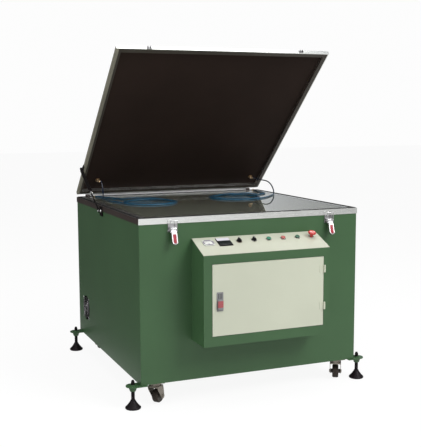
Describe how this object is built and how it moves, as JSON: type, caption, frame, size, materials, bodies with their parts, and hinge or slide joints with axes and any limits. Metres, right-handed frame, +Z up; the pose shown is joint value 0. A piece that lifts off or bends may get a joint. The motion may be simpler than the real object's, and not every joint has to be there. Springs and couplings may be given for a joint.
{
  "type": "screen printing exposure unit",
  "caption": "Free-standing exposure unit: green sheet-steel cabinet with a glass table, hinged vacuum lid on a gas strut, front control box, levelling feet and castors.",
  "frame": {"origin": "on the floor, below the centre of the whole outline", "axes": "+X to the machine's right seen from the front, +Y to the rear, +Z up; the control box faces -Y"},
  "size_m": [1.45, 1.503, 1.9041],
  "materials": {
    "green_paint": "satin",
    "steel_frame": "satin",
    "rim_aluminium": "brushed",
    "hinge_steel": "satin",
    "clear_glass": "polished",
    "lamp_glass": "clear",
    "black_rubber": "matte",
    "blanket_rubber": "matte",
    "cream_paint": "satin",
    "meter_plastic": "gloss",
    "black_plastic": "matte",
    "chrome": "polished",
    "handle_red": "gloss",
    "zinc_steel": "satin",
    "pump_paint": "satin",
    "black_paint": "satin",
    "hose_blue": "gloss",
    "nozzle_brass": "satin",
    "green_plastic": "gloss",
    "pink_plastic": "gloss",
    "dark_green_plastic": "gloss"
  },
  "bodies": {
    "cabinet": {"front_panel": "green_paint", "left_side_panel": "green_paint", "right_side_panel": "green_paint", "rear_panel": "green_paint", "bottom_pan": "green_paint", "steel_frame": "steel_frame", "top_rim": "rim_aluminium", "table_glass": "clear_glass", "rim_gasket": "black_rubber", "hinge_base": "hinge_steel", "control_box": "green_paint", "control_panel": "cream_paint", "light_meter": "meter_plastic", "timer_display": "black_plastic", "switch_bodies": "chrome", "electrical_gear": "steel_frame", "latch_bases": "chrome", "castor_mounts": "zinc_steel", "fan_housing": "black_plastic", "lamp_reflector": "chrome", "uv_lamp": "lamp_glass", "vacuum_pump": "pump_paint", "strut_base_bracket": "black_paint", "hose_coil_left": "hose_blue", "hose_coil_right": "hose_blue"},
    "lid": {"lid_frame": "rim_aluminium", "rubber_blanket": "blanket_rubber", "blanket_clamps": "rim_aluminium", "vacuum_nozzles": "nozzle_brass", "latch_keepers": "chrome", "hinge_lid_leaf": "hinge_steel", "strut_lid_bracket": "black_paint", "hose_lead_left": "hose_blue", "hose_lead_right": "hose_blue"},
    "strut_cylinder": {"strut_cylinder": "black_paint"},
    "strut_rod": {"strut_rod": "chrome"},
    "door": {"door_panel": "cream_paint", "lock_housing": "zinc_steel"},
    "lock_button": {"lock_button": "handle_red"},
    "latch_lever_left": {"latch_lever_left": "handle_red"},
    "latch_bail_left": {"latch_bail_left": "chrome"},
    "selector_left": {"selector_left": "black_plastic"},
    "castor_fork_left": {"castor_fork_left": "zinc_steel"},
    "latch_lever_right": {"latch_lever_right": "handle_red"},
    "latch_bail_right": {"latch_bail_right": "chrome"},
    "selector_right": {"selector_right": "black_plastic"},
    "castor_fork_right": {"castor_fork_right": "zinc_steel"},
    "button_green": {"button_green": "green_plastic"},
    "button_red": {"button_red": "pink_plastic"},
    "button_dark": {"button_dark": "dark_green_plastic"},
    "emergency_stop": {"emergency_stop": "handle_red"},
    "fan_rotor": {"fan_rotor": "black_plastic"},
    "castor_wheel_front_left": {"castor_wheel_front_left": "black_rubber"},
    "levelling_foot_front_left": {"levelling_foot_front_left": "black_paint"},
    "castor_wheel_front_right": {"castor_wheel_front_right": "black_rubber"},
    "levelling_foot_front_right": {"levelling_foot_front_right": "black_paint"},
    "castor_wheel_rear_left": {"castor_wheel_rear_left": "black_rubber"},
    "levelling_foot_rear_left": {"levelling_foot_rear_left": "black_paint"},
    "castor_wheel_rear_right": {"castor_wheel_rear_right": "black_rubber"},
    "levelling_foot_rear_right": {"levelling_foot_rear_right": "black_paint"}
  },
  "joints": [
    {"name": "lid_hinge", "type": "hinge", "parent": "cabinet", "child": "lid", "pos_m": [0, 0.7355, 1.011], "axis": [1, 0, 0], "range_deg": [0, 42], "deforming": ["hose_lead_left", "hose_lead_right"]},
    {"name": "strut_pivot", "type": "hinge", "parent": "cabinet", "child": "strut_rod", "pos_m": [-0.664, 0.1315, 0.975], "axis": [1, 0, 0], "range_deg": [-21.5, 0]},
    {"name": "strut_slide", "type": "slide", "parent": "strut_rod", "child": "strut_cylinder", "axis": [0, 0.8784, 0.4779], "range_m": [-0.1285, 0]},
    {"name": "door_hinge", "type": "hinge", "parent": "cabinet", "child": "door", "pos_m": [0.3455, -0.744, 0.5825], "axis": [0, 0, 1], "range_deg": [0, 110]},
    {"name": "lock_push", "type": "slide", "parent": "door", "child": "lock_button", "axis": [0, 1, 0], "range_m": [0, 0.004], "stiffness_N_per_m": 400, "springref_m": -0.001},
    {"name": "latch_turn_left", "type": "hinge", "parent": "cabinet", "child": "latch_lever_left", "pos_m": [-0.465, -0.5875, 0.946], "axis": [-1, 0, 0], "range_deg": [-18, 132]},
    {"name": "bail_turn_left", "type": "hinge", "parent": "latch_lever_left", "child": "latch_bail_left", "pos_m": [-0.465, -0.59244, 0.93078], "axis": [-1, 0, 0], "range_deg": [-132, 18]},
    {"name": "latch_turn_right", "type": "hinge", "parent": "cabinet", "child": "latch_lever_right", "pos_m": [0.465, -0.5875, 0.946], "axis": [-1, 0, 0], "range_deg": [-18, 132]},
    {"name": "bail_turn_right", "type": "hinge", "parent": "latch_lever_right", "child": "latch_bail_right", "pos_m": [0.465, -0.59244, 0.93078], "axis": [-1, 0, 0], "range_deg": [-132, 18]},
    {"name": "selector_turn_left", "type": "hinge", "parent": "cabinet", "child": "selector_left", "pos_m": [-0.1095, -0.629, 0.86838], "axis": [0, -0.3704, 0.9289], "range_deg": [0, 90]},
    {"name": "selector_turn_right", "type": "hinge", "parent": "cabinet", "child": "selector_right", "pos_m": [-0.0226, -0.629, 0.86838], "axis": [0, -0.3704, 0.9289], "range_deg": [0, 90]},
    {"name": "button_green_push", "type": "slide", "parent": "cabinet", "child": "button_green", "axis": [0, 0.3704, -0.9289], "range_m": [0, 0.003], "stiffness_N_per_m": 300, "springref_m": -0.002},
    {"name": "button_red_push", "type": "slide", "parent": "cabinet", "child": "button_red", "axis": [0, 0.3704, -0.9289], "range_m": [0, 0.003], "stiffness_N_per_m": 300, "springref_m": -0.002},
    {"name": "button_dark_push", "type": "slide", "parent": "cabinet", "child": "button_dark", "axis": [0, 0.3704, -0.9289], "range_m": [0, 0.003], "stiffness_N_per_m": 300, "springref_m": -0.002},
    {"name": "emergency_stop_push", "type": "slide", "parent": "cabinet", "child": "emergency_stop", "axis": [0, 0.3704, -0.9289], "range_m": [0, 0.003]},
    {"name": "castor_swivel_left", "type": "hinge", "parent": "cabinet", "child": "castor_fork_left", "pos_m": [-0.552, -0.5265, 0.11], "axis": [0, 0, 1], "continuous": true},
    {"name": "wheel_roll_front_left", "type": "hinge", "parent": "castor_fork_left", "child": "castor_wheel_front_left", "pos_m": [-0.53389, -0.51075, 0.043], "axis": [-0.6561, 0.7547, 0], "continuous": true},
    {"name": "wheel_roll_rear_left", "type": "hinge", "parent": "cabinet", "child": "castor_wheel_rear_left", "pos_m": [-0.53, 0.6555, 0.043], "axis": [1, 0, 0], "continuous": true},
    {"name": "castor_swivel_right", "type": "hinge", "parent": "cabinet", "child": "castor_fork_right", "pos_m": [0.552, -0.5265, 0.11], "axis": [0, 0, 1], "continuous": true},
    {"name": "wheel_roll_front_right", "type": "hinge", "parent": "castor_fork_right", "child": "castor_wheel_front_right", "pos_m": [0.56436, -0.50593, 0.043], "axis": [-0.8572, 0.515, 0], "continuous": true},
    {"name": "wheel_roll_rear_right", "type": "hinge", "parent": "cabinet", "child": "castor_wheel_rear_right", "pos_m": [0.53, 0.6555, 0.043], "axis": [1, 0, 0], "continuous": true},
    {"name": "foot_screw_front_left", "type": "slide", "parent": "cabinet", "child": "levelling_foot_front_left", "axis": [0, 0, 1], "range_m": [-0.02, 0.03]},
    {"name": "foot_screw_front_right", "type": "slide", "parent": "cabinet", "child": "levelling_foot_front_right", "axis": [0, 0, 1], "range_m": [-0.02, 0.03]},
    {"name": "foot_screw_rear_left", "type": "slide", "parent": "cabinet", "child": "levelling_foot_rear_left", "axis": [0, 0, 1], "range_m": [-0.02, 0.03]},
    {"name": "foot_screw_rear_right", "type": "slide", "parent": "cabinet", "child": "levelling_foot_rear_right", "axis": [0, 0, 1], "range_m": [-0.02, 0.03]},
    {"name": "fan_spin", "type": "hinge", "parent": "cabinet", "child": "fan_rotor", "pos_m": [-0.63, 0.5465, 0.311], "axis": [1, 0, 0], "continuous": true}
  ],
  "couplings": [
    {"joint": "strut_pivot", "follows": "lid_hinge", "ratio": -0.50382},
    {"joint": "strut_slide", "follows": "lid_hinge", "m_per_rad": -0.17454},
    {"joint": "bail_turn_left", "follows": "latch_turn_left", "ratio": -1},
    {"joint": "bail_turn_right", "follows": "latch_turn_right", "ratio": -1}
  ]
}
